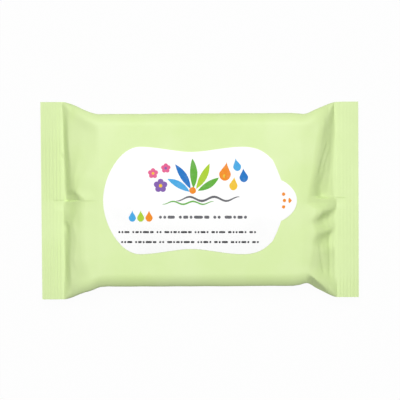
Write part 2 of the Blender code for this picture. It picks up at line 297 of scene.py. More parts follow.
# %% The section of a ring
def section(x, girth):
    """The film at a distance along its girth from the middle line: y, and height off the mid plane."""
    width = half_width(x, girth)
    height = HALF_HEIGHT * height_share(x, girth)
    size = np.maximum(np.minimum(height / EDGE_DROP, 1.0), 1e-6)
    soft, sharp = EDGE_ARC * size, EDGE_FOLD * size
    flat = width - soft * math.sin(EDGE_TURN) - sharp * (1 - math.sin(EDGE_TURN))
    bend = soft * EDGE_TURN
    corner = sharp * (math.pi / 2 - EDGE_TURN)
    wall = height - EDGE_DROP * size
    reach = np.abs(girth) / (FIN_SPAN / 2) * (flat + bend + corner + wall)
    turn = np.clip((reach - flat) / soft, 0.0, EDGE_TURN)
    last = EDGE_TURN + np.clip((reach - flat - bend) / sharp, 0.0, math.pi / 2 - EDGE_TURN)
    down = np.maximum(reach - flat - bend - corner, 0.0)
    y = np.minimum(reach, flat) + soft * np.sin(turn) + sharp * (np.sin(last) - math.sin(EDGE_TURN))
    z = height - soft * (1 - np.cos(turn)) - sharp * (math.cos(EDGE_TURN) - np.cos(last)) - down
    return np.copysign(y, girth), np.maximum(z, 0.0)


# %% [markdown]
# ## Heights of the two sheets
#
# Down the middle of each end, the slope's profile is a broken line through the shoulder, the four points of
# the rows and the foot. Averaged over a short run, its corners round off as film does over a soft edge, and
# more so high on the slope. The rows blend across the pack, but sharply near the middle, where the film folds
# over the stiff seam. Near the long edges the profile hands over to the plain ring.

# %% The slope's profile
# how widely the profile's corners are rounded, and how many times more so high on the slope
SOFT_FOLD = 0.5 * MM
SOFTER = {LEFT: 2.5, RIGHT: 1.0}
SOFTER_WITHIN = 64.0 * MM
SOFTER_RUN = 6.0 * MM
FOOT_BLEND = 0.8 * MM
# how widely the rows blend across the pack: over the stiff seam, and how much more in the slack film
STIFF_BLEND = 0.15 * MM
SLACK_BLEND = 1.1 * MM
SLACK_FROM = 1.0 * MM
SLACK_RUN = 2.0 * MM


def soft_row(y, places, values):
    """Values read along the rows: they change softly, but sharply near the middle of the pack."""
    reach = STIFF_BLEND + SLACK_BLEND * smooth_step((np.abs(y) - SLACK_FROM) / SLACK_RUN)
    return sum(np.interp(y + share * reach, places, values) for share in np.linspace(-1, 1, 5)) / 5


def slope_profile(x, y, side):
    """The top sheet's height over one slope, as a share of the half height."""
    rows = SLOPE_ROWS[side]
    across = np.array([row[0] for row in rows]) * MM
    places, shares = [SHOULDER], [1.0]
    for k in range(1, 5):
        places.append(soft_row(y, across, np.array([row[k][0] for row in rows]) * MM))
        shares.append(soft_row(y, across, [row[k][1] for row in rows]))
    places.append(soft_row(y, across, np.array([row[5] for row in rows]) * MM))
    shares.append(0.0)
    reach = SOFT_FOLD * (1 + SOFTER[side] * smooth_step((SOFTER_WITHIN - np.abs(x)) / SOFTER_RUN))
    total = 0.0
    for shift in np.linspace(-reach, reach, 9):
        share = 1.0
        for near, far, high, low in zip(places, places[1:], shares, shares[1:]):
            share = share - (high - low) * np.clip((np.abs(x) + shift - near) / (far - near), 0.0, 1.0)
        total = total + share / 9
    return total * smooth_step((FIN_START - np.abs(x)) / FOOT_BLEND)


# %% The crimped fin
RIBS_LEAST = {LEFT: 0.15, RIGHT: 0.06}
# side, the y where the ribs' depth changes, the run of the change (towards -Y if negative), by how much
RIB_CHANGES = [
    (LEFT, -1.0, 2.0, 0.55),
    (LEFT, 28.0, 8.0, -0.55),
    (LEFT, 30.0, 6.0, 0.20),
    (LEFT, -16.0, -8.0, 0.42),
    (RIGHT, -36.0, -8.0, 0.46),
]
# the right fin's ribs are a little uneven, and the outer ones are deeper on its near half
RIBS_UNEVEN, RIBS_UNEVEN_REACH = 0.03, 9.0 * MM
OUTER_RIBS, OUTER_DEEPER = 75.5 * MM, 0.22
OUTER_RUN, OUTER_SIDE = 1.0 * MM, 6.0 * MM
LIP_HEIGHT = 0.04 * MM
LIP_PLACE = 0.3 * MM
LIP_REACH = 0.45 * MM
FIN_WAVE = 0.28 * MM
FIN_WAVE_REACH = 15.0 * MM
FIN_WAVE_START = {LEFT: 2.2, RIGHT: 0.7}


def rib_depth(x, y):
    """How deep the ribs are pressed, as a share of their full height."""
    depth = by_side(x, RIBS_LEAST)
    for side, start, run, change in RIB_CHANGES:
        depth = depth + np.where(side * x > 0, change * smooth_step((y - start * MM) / (run * MM)), 0.0)
    uneven = RIBS_UNEVEN * np.cos(y / RIBS_UNEVEN_REACH)
    outer = smooth_step((np.abs(x) - OUTER_RIBS) / OUTER_RUN) * smooth_step((-OUTER_SIDE - y) / OUTER_SIDE)
    return depth + np.where(x > 0, uneven + OUTER_DEEPER * outer, 0.0)


def rib_wave(x, y):
    """The crimp: equal ribs across the fin, pressed a little deeper in some places than in others."""
    phase = (np.abs(x) - FIN_START) / RIB_PITCH - ((PACK_END - FIN_START) / RIB_PITCH - RIB_COUNT) / 2
    inside = smooth_step(phase * 3) * smooth_step((RIB_COUNT - phase) * 3)
    return -RIB_HEIGHT * np.cos(2 * math.pi * phase) * inside * rib_depth(x, y)


def fin_lift(x, y):
    """The fins don't lie quite level: they bend a little towards their cut edge, in a slow wave along it."""
    share = np.clip((np.abs(x) - SLOPE_START) / (PACK_END - SLOPE_START), 0.0, 1.0)
    wave = FIN_WAVE * np.cos(y / FIN_WAVE_REACH + by_side(x, FIN_WAVE_START))
    return share**2 * (by_side(x, FIN_LIFT) + wave * share**2)


def fin_lip(x):
    """A low lip where the crimp begins, raised by the edge of the sealing jaw."""
    return LIP_HEIGHT * np.exp(-(((np.abs(x) - FIN_START - LIP_PLACE) / LIP_REACH) ** 2))


# %% The top sheet and the underside sheet
# how far in from the long edges the profile takes over, and its run
RIM = 2.5 * MM
RIM_BLEND = 9.0 * MM
# the creases' run in from the long edges, and their run as a share of the slope
CREASE_RIM = 4.0 * MM
CREASE_RUN = 0.25
# how far below the mid plane a crease may go, as a share of the half height, and in the fin
DEEPEST = 0.35
DEEPEST_IN_FIN = 0.2 * MM
# the underside's creases fade out below this share of the half height
UNDER_RIM = 0.4


def top_height(x, y, z):
    """The top sheet's height above the table."""
    inwards = half_width(x, y) - np.abs(y)
    profile = np.where(x > 0, slope_profile(x, y, RIGHT), slope_profile(x, y, LEFT))
    level = z + smooth_step((inwards - RIM) / RIM_BLEND) * HALF_HEIGHT * (profile - height_share(x, y))
    turned = smooth_step((x - FACET_START) / FACET_RUN) * smooth_step(-y / FACET_SIDE)
    level = level - turned * np.maximum(level - FACET_LEAN * inwards, 0.0)
    room = smooth_step(along_slope(x) / CREASE_RUN) * smooth_step(inwards / CREASE_RIM)
    deepest = np.where(np.abs(x) < FIN_START, DEEPEST * HALF_HEIGHT * height_share(x, y), DEEPEST_IN_FIN)
    pressed = np.maximum(level - room * creases(x, y, TOP_FOLDS), -deepest)
    bulge = CROWN * np.clip(1 - (2 * y / BODY_WIDTH) ** 2, 0.0, 1.0) * (1 - along_slope(x))
    base = MID_HEIGHT + FIN_THICKNESS / 2
    return base + pressed + bulge + fin_lip(x) + rib_wave(x, y) + fin_lift(x, y)


def under_height(x, y, z):
    """The underside sheet's height above the table. It stands off a little over the folded seam."""
    room = smooth_step(z / HALF_HEIGHT / UNDER_RIM) * smooth_step(along_slope(x) / CREASE_RUN)
    level = np.maximum(z - room * creases(x, y, UNDER_FOLDS), 0.0)
    beside = np.maximum(np.maximum(y, -SEAM_WIDTH - y), 0.0)
    stand_off = SEAM_STEP * (1 - smooth_step(beside / SEAM_TENT)) * height_share(x, y)
    return MID_HEIGHT - FIN_THICKNESS / 2 - level + stand_off + rib_wave(x, y) + fin_lift(x, y)


# %% [markdown]
# ## Making the bag
#
# Each sheet starts as a flat grid from `bmesh.ops.create_grid`, whose rows become rings of the pack, close
# together on the ribs and slopes. The two sheets are then joined round their rims with `bridge_loops`, so
# the bag is one closed body.

# %% Rings and lines
RINGS_IN_BODY = 26
RINGS_IN_SLOPE = 62
RINGS_IN_RIB = 6
GIRTH_LINES = 212
CLOSER_IN = 0.42


def spread(low, high, count):
    """Even values from low to high."""
    return np.linspace(low, high, count + 1)


def rings():
    """Where the rings stand along X."""
    crimp = (PACK_END - FIN_START - RIB_COUNT * RIB_PITCH) / 2
    ribs = spread(FIN_START + crimp, PACK_END - crimp, RINGS_IN_RIB * RIB_COUNT)
    slope = spread(SLOPE_START, FIN_START, RINGS_IN_SLOPE)
    half = np.concatenate([slope[1:], ribs, [PACK_END]])
    return np.concatenate([-half[::-1], spread(-SLOPE_START, SLOPE_START, RINGS_IN_BODY), half])


def girth_lines():
    """The film's lines, as distances along its girth from the middle line, closer together near it."""
    share = spread(-1.0, 1.0, GIRTH_LINES)
    return FIN_SPAN / 2 * ((1 - CLOSER_IN) * share + CLOSER_IN * share**3)


print(len(rings()), "rings and", len(girth_lines()), "lines on each sheet")

# %% One sheet of film
# Sizes and heights of the slow and quick waves of hand-handled film.
SLOW, QUICK = 22.0 * MM, 8.0 * MM
SLOW_HEIGHT, QUICK_HEIGHT = 0.10 * MM, 0.03 * MM
# The long walls stand in a little, and their own slow and quick waves are stronger.
WALL_IN, WALL_SLOW, WALL_QUICK = 0.18 * MM, 0.22 * MM, 0.12 * MM
SEALED_RUN = 3.0 * MM


def undulation(x, girth, seed, size):
    """A slow, shallow unevenness of hand-handled film."""
    points = zip(x.ravel() / size, girth.ravel() / size)
    return np.array([noise.noise(Vector((a, b, seed))) for a, b in points]).reshape(x.shape)


def film_sheet(bm, height_of, seed):
    """One sheet of film: a grid whose rows are rings. Returns its vertices."""
    ring, line = rings(), girth_lines()
    made = bmesh.ops.create_grid(bm, x_segments=len(ring) - 1, y_segments=len(line) - 1, size=1.0)
    verts = made["verts"]
    flat = np.array([vert.co[:2] for vert in verts])
    x = ring[np.round((flat[:, 0] + 1) / 2 * (len(ring) - 1)).astype(int)]
    girth = line[np.round((flat[:, 1] + 1) / 2 * (len(line) - 1)).astype(int)]
    y, z = section(x, girth)
    height = height_of(x, y, z)
    skew = smooth_step((np.abs(x) - SLOPE_START) / (PACK_END - SLOPE_START)) * by_side(x, FIN_SKEW)
    y = y * (1 - by_side(x, FIN_SHORTER) * smooth_step(along_slope(x)))
    x = x + np.sign(x) * skew * y / (FIN_SPAN / 2)
    free = 1 - smooth_step((np.abs(x) - FIN_START + SEALED_RUN) / SEALED_RUN)
    wall = smooth_step((np.abs(y) - BODY_WIDTH / 2 + EDGE_RADIUS) / EDGE_RADIUS)
    slow = undulation(x, girth, seed, SLOW)
    quick = undulation(x, girth, seed + 5.0, QUICK)
    if height_of is top_height:
        height = height + free * (1 - wall) * (SLOW_HEIGHT * slow + QUICK_HEIGHT * quick)
    y = y - np.sign(girth) * wall * free * (WALL_IN + WALL_SLOW * slow + WALL_QUICK * quick)
    for vert, place in zip(verts, zip(x, y, height)):
        vert.co = place
    return verts


# %% The bag
def faces_of(verts):
    return list({face for vert in verts for face in vert.link_faces})


def rim_of(verts):
    return [edge for edge in {e for v in verts for e in v.link_edges} if edge.is_boundary]


def mesh_object(name, bm):
    """A new object of this bmesh, smooth shaded, riding on the pack's one body."""
    mesh = bpy.data.meshes.new(name)
    bm.to_mesh(mesh)
    bm.free()
    mesh.shade_smooth()
    made = bpy.data.objects.new(name, mesh)
    bpy.context.scene.collection.objects.link(made)
    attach(made, "root")
    print(name, len(mesh.polygons), "faces")
    return made


SHARP_BEND = math.radians(42)


def film_bag():
    """The bag: a top sheet and an underside, joined all round their rims."""
    bm = bmesh.new()
    top = film_sheet(bm, top_height, 1.0)
    under = film_sheet(bm, under_height, 1.0)
    bmesh.ops.reverse_faces(bm, faces=faces_of(under))
    bmesh.ops.bridge_loops(bm, edges=rim_of(top) + rim_of(under))
    bmesh.ops.recalc_face_normals(bm, faces=bm.faces)
    made = mesh_object("film_bag", bm)
    made.data.set_sharp_from_angle(angle=SHARP_BEND)
    return made


bag = film_bag()
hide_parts("film_pack")

# %% [markdown]
# ## The long seam
#
# Under the pack, the tube's own seam is a fin of two film edges sealed together and folded flat. It is a
# separate strip here, so that its free edge casts a line and wanders a little, and it is pressed with fine
# ribs that run along it.

# %% The folded seam
SEAM_RIBS = 9
SEAM_RIB_HEIGHT = 0.035 * MM
SEAM_SWING, SEAM_SWING_REACH = 0.35 * MM, 31.0 * MM
SEAM_BELOW = 0.19 * MM
SEAM_THICKNESS = 0.14 * MM


def seam_strip():
    """A long grid laid under the bag's underside, a little uneven along its free edge."""
    bm = bmesh.new()
    verts = bmesh.ops.create_grid(bm, x_segments=140, y_segments=32, size=1.0)["verts"]
    flat = np.array([vert.co[:2] for vert in verts])
    x = flat[:, 0] * (FIN_START - 0.5 * MM)
    across = (flat[:, 1] + 1) / 2
    swing = SEAM_SWING * np.sin(x / SEAM_SWING_REACH) * (1 - across)
    y = -SEAM_WIDTH + across * (SEAM_WIDTH - 0.2 * MM) + swing
    z = HALF_HEIGHT * height_share(x, y)
    pressed = smooth_step(across * 6) * smooth_step((1 - across) * 4)
    ribs = SEAM_RIB_HEIGHT * np.cos(2 * math.pi * across * SEAM_RIBS) * pressed
    height = under_height(x, y, z) - SEAM_BELOW + ribs
    for vert, place in zip(verts, zip(x, y, height)):
        vert.co = place
    strip = mesh_object("back_seam", bm)
    wall = strip.modifiers.new("thickness", "SOLIDIFY")
    wall.thickness = SEAM_THICKNESS
    wall.offset = 0.0
    return strip


seam = seam_strip()
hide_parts("film_pack")

# %% [markdown]
# ## The label
#
# The peel label is cut from white film with two round lobes, a shallow waist and a round tab for the finger.
# Its outline is a closed Bezier curve, filled and cut into a net so that it can lie on the crown of the bag.

# %% The label's outline
LABEL_LENGTH = 89.7 * MM
LABEL_WIDTH = 54.0 * MM
LABEL_WAIST = 48.8 * MM
LABEL_LEFT_END = -48.7 * MM
TAB_RADIUS = 10.9 * MM
TAB_REACH = 7.7 * MM
LABEL_LIFT = 0.12 * MM
LABEL_THICKNESS = 0.10 * MM
LABEL_TOP = LABEL_LIFT + LABEL_THICKNESS


def label_knots():
    """Bezier knots (point, handle before, handle after) from the left end round the far side and back."""
    left = LABEL_LEFT_END
    right = left + LABEL_LENGTH
    half = LABEL_WIDTH / 2
    left_lobe = left + 18.5 * MM
    right_lobe = right - 19.5 * MM
    far = [
        ((left, 0.0), (0.0, -12 * MM), (0.0, 12 * MM)),
        ((left_lobe, half), (-10 * MM, 0.0), (9 * MM, 0.0)),
        (((left_lobe + right_lobe) / 2, LABEL_WAIST / 2), (-8 * MM, 0.0), (8 * MM, 0.0)),
        ((right_lobe, half), (-9 * MM, 0.0), (8 * MM, 0.0)),
        ((right - 4.4 * MM, half - 6.8 * MM), (-3.2 * MM, 3.6 * MM), (1.6 * MM, -3.0 * MM)),
        ((right - 0.2 * MM, TAB_RADIUS * 0.93), (-0.9 * MM, 2.6 * MM), (2.2 * MM, -0.6 * MM)),
        ((right + TAB_REACH, 0.0), (0.0, 5.6 * MM), (0.0, -5.6 * MM)),
    ]
    near = [((x, -y), (ax, -ay), (bx, -by)) for (x, y), (bx, by), (ax, ay) in far[-2:0:-1]]
    return far + near


print(len(label_knots()), "knots in the label's outline")

# %% Filling an outline and cutting it into a net
def filled_outline(knots, fineness):
    """A flat mesh inside a closed Bezier outline."""
    curve = bpy.data.curves.new("outline", "CURVE")
    curve.dimensions = "2D"
    curve.fill_mode = "BOTH"
    curve.resolution_u = fineness
    spline = curve.splines.new("BEZIER")
    spline.bezier_points.add(len(knots) - 1)
    spline.use_cyclic_u = True
    for point, ((x, y), (bx, by), (ax, ay)) in zip(spline.bezier_points, knots):
        point.handle_left_type = point.handle_right_type = "FREE"
        point.co = (x, y, 0.0)
        point.handle_left = (x + bx, y + by, 0.0)
        point.handle_right = (x + ax, y + ay, 0.0)
    outline = bpy.data.objects.new("outline", curve)
    bpy.context.scene.collection.objects.link(outline)
    bpy.context.view_layer.update()
    flat = bpy.data.meshes.new_from_object(outline.evaluated_get(bpy.context.evaluated_depsgraph_get()))
    bpy.data.objects.remove(outline)
    bm = bmesh.new()
    bm.from_mesh(flat)
    bpy.data.meshes.remove(flat)
    bmesh.ops.remove_doubles(bm, verts=bm.verts, dist=0.01 * MM)
    bmesh.ops.dissolve_limit(bm, angle_limit=0.01, verts=bm.verts, edges=bm.edges)
    return bm


def cut_net(bm, step):
    """Cuts a flat mesh along a square net, so that it can bend."""
    for axis in (0, 1):
        values = [vert.co[axis] for vert in bm.verts]
        for cut in np.arange(math.ceil(min(values) / step), max(values) / step):
            place, normal = Vector(), Vector()
            place[axis], normal[axis] = cut * step, 1.0
            geom = bm.verts[:] + bm.edges[:] + bm.faces[:]
            bmesh.ops.bisect_plane(bm, geom=geom, plane_co=place, plane_no=normal, dist=0.005 * MM)


# %% Laying the label on the bag
# The label sits a hair nearer to the viewer and a hair askew, as hands and machines leave it.
LABEL_SHIFT = -0.40 * MM
LABEL_TURN = math.radians(-0.28)
TAB_START, TAB_RUN, TAB_LIFT = 40.0 * MM, 9.0 * MM, 0.35 * MM
LABEL_NET, PRINT_NET = 2.5 * MM, 4.0 * MM
OUTLINE_STEPS = 16
LABEL_BEND = math.radians(40)


def lay_on_film(bm, lift):
    """Lays a flat mesh on the bag's top and raises it. The tab's tip isn't glued, so it lifts a little."""
    bmesh.ops.rotate(bm, verts=bm.verts, matrix=Matrix.Rotation(LABEL_TURN, 3, "Z"))
    bmesh.ops.translate(bm, verts=bm.verts, vec=(0.0, LABEL_SHIFT, 0.0))
    x = np.array([vert.co.x for vert in bm.verts])
    y = np.array([vert.co.y for vert in bm.verts])
    tab = smooth_step((x - TAB_START) / TAB_RUN) * TAB_LIFT
    waves = SLOW_HEIGHT * undulation(x, y, 1.0, SLOW) + QUICK_HEIGHT * undulation(x, y, 6.0, QUICK)
    height = top_height(x, y, np.full(x.shape, HALF_HEIGHT)) + waves + tab + lift
    for vert, z in zip(bm.verts, height):
        vert.co.z += z
    for face in bm.faces:
        face.normal_update()
        if face.normal.z < 0:
            face.normal_flip()


def label_sheet():
    bm = filled_outline(label_knots(), OUTLINE_STEPS)
    cut_net(bm, LABEL_NET)
    lay_on_film(bm, LABEL_TOP)
    bmesh.ops.solidify(bm, geom=bm.faces[:], thickness=LABEL_THICKNESS)
    bmesh.ops.recalc_face_normals(bm, faces=bm.faces)
    label = mesh_object("label_sheet", bm)
    label.data.set_sharp_from_angle(angle=LABEL_BEND)
    return label


label = label_sheet()
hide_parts("peel_label")

# %% [markdown]
# ## The print on the label
#
# The label carries a small generic print: five leaves fanned round a seed, with blossoms to their left and
# drops to their right, two thin waves, three small drops, rows of dots and short dashes, and an arrow with
# three dots on the tab. Each motif starts as a circle whose points are pulled to shape. All of them are laid
# on the label as a film of ink, and motifs that may overlap lie a hair above each other. The ink's colour is
# kept on the mesh as an attribute, so one material prints them all.

# %% Inks
BLUE = (0.010, 0.180, 0.560)
SKY = (0.060, 0.400, 0.780)
GREEN = (0.120, 0.430, 0.040)
LIME = (0.420, 0.640, 0.030)
ORANGE = (0.900, 0.270, 0.010)
YELLOW = (0.900, 0.560, 0.030)
PURPLE = (0.230, 0.110, 0.420)
PINK = (0.800, 0.120, 0.290)
GREY = (0.130, 0.130, 0.145)
DARK = (0.045, 0.045, 0.050)
INK_LIFT = LABEL_TOP + 0.02 * MM
INK_STEP = 0.001 * MM
INK_LAYERS = 40

# %% Shapes of the motifs, each from the cosine and sine of a circle
SHAPE_POINTS = 28
WAVE_POINTS = 120


def round_shape(c, s):
    return c, s


def drop_shape(c, s):
    """A water drop with its tip up."""
    tip = np.clip(s, 0.0, 1.0)
    return c * (1 - tip**1.6) * 0.95, s * (1 + 0.75 * tip)


def leaf_shape(c, s):
    """A leaf, pointed at both ends."""
    return 0.42 * s * np.abs(s) + 0.10 * (1 - c * c), c


def arrow_shape(c, s):
    """A triangle that points along X."""
    return c, s * (1 - c) / 2 * 1.3


def dash_shape(c, s):
    """A short bar with rounded corners."""
    return np.sign(c) * np.abs(c) ** 0.35, np.sign(s) * np.abs(s) ** 0.7


def wave_shape(c, s):
    """A long ribbon that swings up and down, thinning towards its ends."""
    return c, 0.16 * np.sin(2.6 * math.pi * c) + s * 0.09


def add_motif(bm, ink_of, layer, shape, centre, size, turn, ink):
    """One motif: a filled circle whose points are pulled to shape, turned and given its ink."""
    segments = WAVE_POINTS if shape is wave_shape else SHAPE_POINTS
    verts = bmesh.ops.create_circle(bm, cap_ends=True, segments=segments, radius=1.0)["verts"]
    around = np.array([math.atan2(vert.co.y, vert.co.x) for vert in verts])
    a, b = shape(np.cos(around), np.sin(around))
    a, b = a * size[0] / 2 * MM, b * size[1] / 2 * MM
    cos, sin = math.cos(math.radians(turn)), math.sin(math.radians(turn))
    for vert, p, q in zip(verts, a, b):
        vert.co = (centre[0] * MM + p * cos - q * sin, centre[1] * MM + p * sin + q * cos, layer)
    for face in faces_of(verts):
        face[ink_of] = ink


# %% The motifs, in millimetres on the label
# shape, centre, size (width, height), turn in degrees, ink
SPRIG = [
    (leaf_shape, (-10.8, 7.6), (8.0, 13.0), 60, SKY),
    (leaf_shape, (-8.6, 12.0), (8.5, 14.5), 32, BLUE),
    (leaf_shape, (-3.6, 13.6), (9.0, 15.0), 2, GREEN),
    (leaf_shape, (1.4, 12.2), (8.5, 14.5), -28, LIME),
    (leaf_shape, (4.2, 8.2), (8.0, 12.5), -58, GREEN),
    (round_shape, (-3.7, 5.0), (3.4, 3.4), 0, ORANGE),
    (drop_shape, (12.6, 13.4), (6.2, 7.0), -8, ORANGE),
    (round_shape, (12.3, 12.2), (1.5, 1.9), 20, YELLOW),
    (drop_shape, (18.6, 17.2), (4.2, 4.8), 12, SKY),
    (drop_shape, (16.8, 7.6), (4.4, 5.0), -6, YELLOW),
    (drop_shape, (22.0, 11.8), (4.6, 5.2), 4, BLUE),
]
WAVES_AND_DROPS = [
    (wave_shape, (4.0, 0.8), (32.0, 13.0), 0, GREY),
    (wave_shape, (-6.0, -1.2), (26.0, 9.0), 0, GREEN),
    (drop_shape, (-34.0, -8.6), (3.8, 4.2), 0, SKY),
    (drop_shape, (-29.8, -8.6), (3.8, 4.2), 0, LIME),
    (drop_shape, (-25.6, -8.6), (3.8, 4.2), 0, ORANGE),
]
TAB_MARK = [
    (round_shape, (42.0, 3.2), (1.7, 1.7), 0, ORANGE),
    (round_shape, (42.4, 0.0), (1.7, 1.7), 0, ORANGE),
    (round_shape, (42.0, -3.2), (1.7, 1.7), 0, ORANGE),
    (arrow_shape, (45.3, 0.0), (1.8, 3.2), 0, ORANGE),
]
# centre, reach of a petal, ink, ink of the heart
BLOSSOMS = [
    ((-19.8, 7.4), 2.0, PURPLE, YELLOW),
    ((-23.6, 13.6), 1.5, PINK, YELLOW),
    ((-17.2, 16.2), 1.4, PINK, PURPLE),
]
# y, left end, right end, thickness, ink
MARK_ROWS = [
    (-8.4, -20.6, 28.0, 1.5, GREY),
    (-15.9, -41.0, 32.0, 1.05, DARK),
    (-20.9, -39.6, 30.6, 1.05, DARK),
]
# the marks' lengths and gaps, in thicknesses, and how many marks a group has
MARK_LENGTHS = [1.0, 1.0, 2.4, 1.0, 1.7, 1.0, 3.0, 1.7]
MARK_GROUPS = [3, 5, 2, 6, 4]
MARK_GAP = 0.45
GROUP_GAP = 0.9
PETALS = 5


def blossom(centre, reach, ink, heart):
    """Round petals about a small heart."""
    petals = []
    for k in range(PETALS):
        angle = math.radians(90 + 360 / PETALS * k)
        place = (centre[0] + reach * math.cos(angle), centre[1] + reach * math.sin(angle))
        petals.append((round_shape, place, (reach * 1.5, reach * 1.5), 0, ink))
    return petals + [(round_shape, centre, (reach * 0.9, reach * 0.9), 0, heart)]


def mark_row(y, left, right, thickness, ink):
    """A row of dots and short dashes, in groups of unlike length."""
    row, x, mark = [], left, 0
    for group in MARK_GROUPS * 4:
        for _ in range(group):
            length = MARK_LENGTHS[mark % len(MARK_LENGTHS)] * thickness
            if x + length > right:
                return row
            shape = round_shape if length == thickness else dash_shape
            row.append((shape, (x + length / 2, y), (length, thickness), 0, ink))
            x += length + MARK_GAP * thickness
            mark += 1
        x += GROUP_GAP * thickness
    return row


def printed_motifs():
    motifs = list(SPRIG)
    for flower in BLOSSOMS:
        motifs += blossom(*flower)
    motifs += WAVES_AND_DROPS
    for row in MARK_ROWS:
        motifs += mark_row(*row)
    return motifs + TAB_MARK


print(len(printed_motifs()), "motifs in the print")

# %% Ink on the label
def label_print():
    """All the ink as one thin mesh on the label, with its colour as an attribute."""
    bm = bmesh.new()
    colour = bm.loops.layers.float_color.new("ink")
    ink_of = bm.faces.layers.float_vector.new("ink_of_face")
    for order, (shape, centre, size, turn, ink) in enumerate(printed_motifs()):
        layer = min(order, INK_LAYERS) * INK_STEP
        add_motif(bm, ink_of, layer, shape, centre, size, turn, ink)
    cut_net(bm, PRINT_NET)
    lay_on_film(bm, INK_LIFT)
    for face in bm.faces:
        for loop in face.loops:
            loop[colour] = (*face[ink_of], 1.0)
    return mesh_object("label_print", bm)


ink = label_print()

# %% [markdown]
# ## A small language for materials
#
# Shader maths reads best as plain expressions, so one class wraps a socket and turns +, -, * and / into
# Math nodes. Every other node comes from `node`, which takes its type, its settings and its inputs.

# %% Sockets as values
class Value:
    """One output socket of a node tree. Without a socket it only starts a tree."""

    def __init__(self, tree, socket):
        self.tree, self.socket = tree, socket

    def node(self, kind, settings=None, output=0, **inputs):
        """A new node. Its inputs go by name, or as i and a number, and output picks the socket returned."""
        made = self.tree.nodes.new(kind)
        for name, setting in (settings or {}).items():
            setattr(made, name, setting)
        for name, value in inputs.items():
            key = int(name[1:]) if name[1:].isdigit() else name.replace("_", " ")
            socket = made.inputs[key]
            if isinstance(value, Value):
                self.tree.links.new(value.socket, socket)
            else:
                socket.default_value = value
        return Value(self.tree, made.outputs[output])

    def maths(self, operation, *values):
        inputs = {f"i{k}": value for k, value in enumerate(values or [self])}
        return self.node("ShaderNodeMath", {"operation": operation}, **inputs)

    def __add__(self, other):
        return self.maths("ADD", self, other)

    def __radd__(self, other):
        return self.maths("ADD", other, self)

    def __sub__(self, other):
        return self.maths("SUBTRACT", self, other)

    def __rsub__(self, other):
        return self.maths("SUBTRACT", other, self)

    def __mul__(self, other):
        return self.maths("MULTIPLY", self, other)

    def __rmul__(self, other):
        return self.maths("MULTIPLY", other, self)

    def __truediv__(self, other):
        return self.maths("DIVIDE", self, other)

    def stepped(self, low, high):
        """0 below low, 1 above high, and a smooth rise between."""
        settings = {"interpolation_type": "SMOOTHSTEP"}
        return self.node("ShaderNodeMapRange", settings, Value=self, From_Min=low, From_Max=high)

    def mixed(self, low, high):
        """A colour between low and high, by this value."""
        return self.node("ShaderNodeMix", {"data_type": "RGBA"}, output=2, i0=self, i6=low, i7=high)


def new_material(name, roughness, **constants):
    """A material with its Principled shader's plain sockets set. Returns it, its shader and a first value."""
    material = bpy.data.materials.new(name)
    material.use_nodes = True
    tree = material.node_tree
    shader = tree.nodes["Principled BSDF"]
    shader.inputs["Roughness"].default_value = roughness
    for socket, value in constants.items():
        shader.inputs[socket.replace("_", " ")].default_value = value
    return material, shader, Value(tree, None).node("ShaderNodeTexCoord", output="Object")


def drive(shader, socket, value):
    value.tree.links.new(value.socket, shader.inputs[socket])


def relief(value, strength, distance):
    """A bump of this height field, as a normal."""
    return value.node("ShaderNodeBump", Height=value, Strength=strength, Distance=distance)


# %% [markdown]
# ## The film's finish
#
# The bag is thin white film printed a pale yellow-green, with a satin face. Handled film is never quite
# even: the ink is a touch denser in places, the sheen changes in soft patches, and fine wrinkles run through
# it. Those are noises at the scale of the real marks, in object coordinates, which are metres.

# %% Film material
FILM_GREEN = (0.700, 0.850, 0.420, 1.0)
FILM_DENSE = (0.670, 0.835, 0.375, 1.0)
# The ends are a touch darker from 63.5 mm outwards: partly the denser look of the sealed film, and partly
# painted shade over the foot of each slope and over the fins.
FILM_SEALED_AND_SHADED = (0.662, 0.812, 0.388, 1.0)
SEALED_SHADE_FROM, SEALED_SHADE_ALL = 63.5 * MM, 67.5 * MM
# noise scales per metre: patches of about 26 mm, wrinkles of 7 mm and a grain of 2 mm
FILM_PATCHES, FILM_WRINKLES, FILM_GRAIN = 38.0, 150.0, 520.0


def film_material():
    material, shader, place = new_material("film", 0.48, Specular_IOR_Level=0.35, Coat_Roughness=0.35)
    patches = place.node("ShaderNodeTexNoise", Vector=place, Scale=FILM_PATCHES, Detail=3.0, Roughness=0.55)
    fine = place.node("ShaderNodeTexNoise", Vector=place, Scale=FILM_GRAIN, Detail=4.0, Roughness=0.6)
    kinks = {"Scale": FILM_WRINKLES, "Detail": 2.0, "Roughness": 0.5, "Distortion": 0.6}
    wrinkle = place.node("ShaderNodeTexNoise", Vector=place, **kinks)
    from_middle = place.node("ShaderNodeSeparateXYZ", Vector=place).maths("ABSOLUTE")
    printed = patches.stepped(0.35, 0.70).mixed(FILM_GREEN, FILM_DENSE)
    # Painted shade: from 63.5 mm outwards the colour darkens, partly for the sealed film's denser look and
    # partly as shade painted over the slope's foot and the fins.
    drive(shader, "Base Color", from_middle.stepped(SEALED_SHADE_FROM, SEALED_SHADE_ALL).mixed(printed, FILM_SEALED_AND_SHADED))
    drive(shader, "Roughness", 0.44 + 0.10 * patches + 0.05 * fine)
    drive(shader, "Coat Weight", 0.04 + 0.08 * wrinkle.stepped(0.4, 0.7))
    drive(shader, "Normal", relief(0.7 * wrinkle + 0.3 * fine, 0.10, 0.0004))
    return material


film = film_material()
bag.data.materials.append(film)
seam.data.materials.append(film)

# %% [markdown]
# ## Label and ink
#
# The label is whiter and smoother than the film. Its ink is duller than the white round it, so that the
# lamp's gloss doesn't wash the colours out, and a fine grain lets a little of the white through.

# %% Label and ink materials
LABEL_WHITE = (0.895, 0.895, 0.890, 1.0)
LABEL_SHADE = (0.875, 0.878, 0.875, 1.0)
THIN_INK = 0.05
# per metre: patches of about 17 mm, a grain of 1.4 mm in the label and of 2.4 mm in the ink
LABEL_PATCHES, LABEL_GRAIN, INK_GRAIN = 60.0, 700.0, 420.0


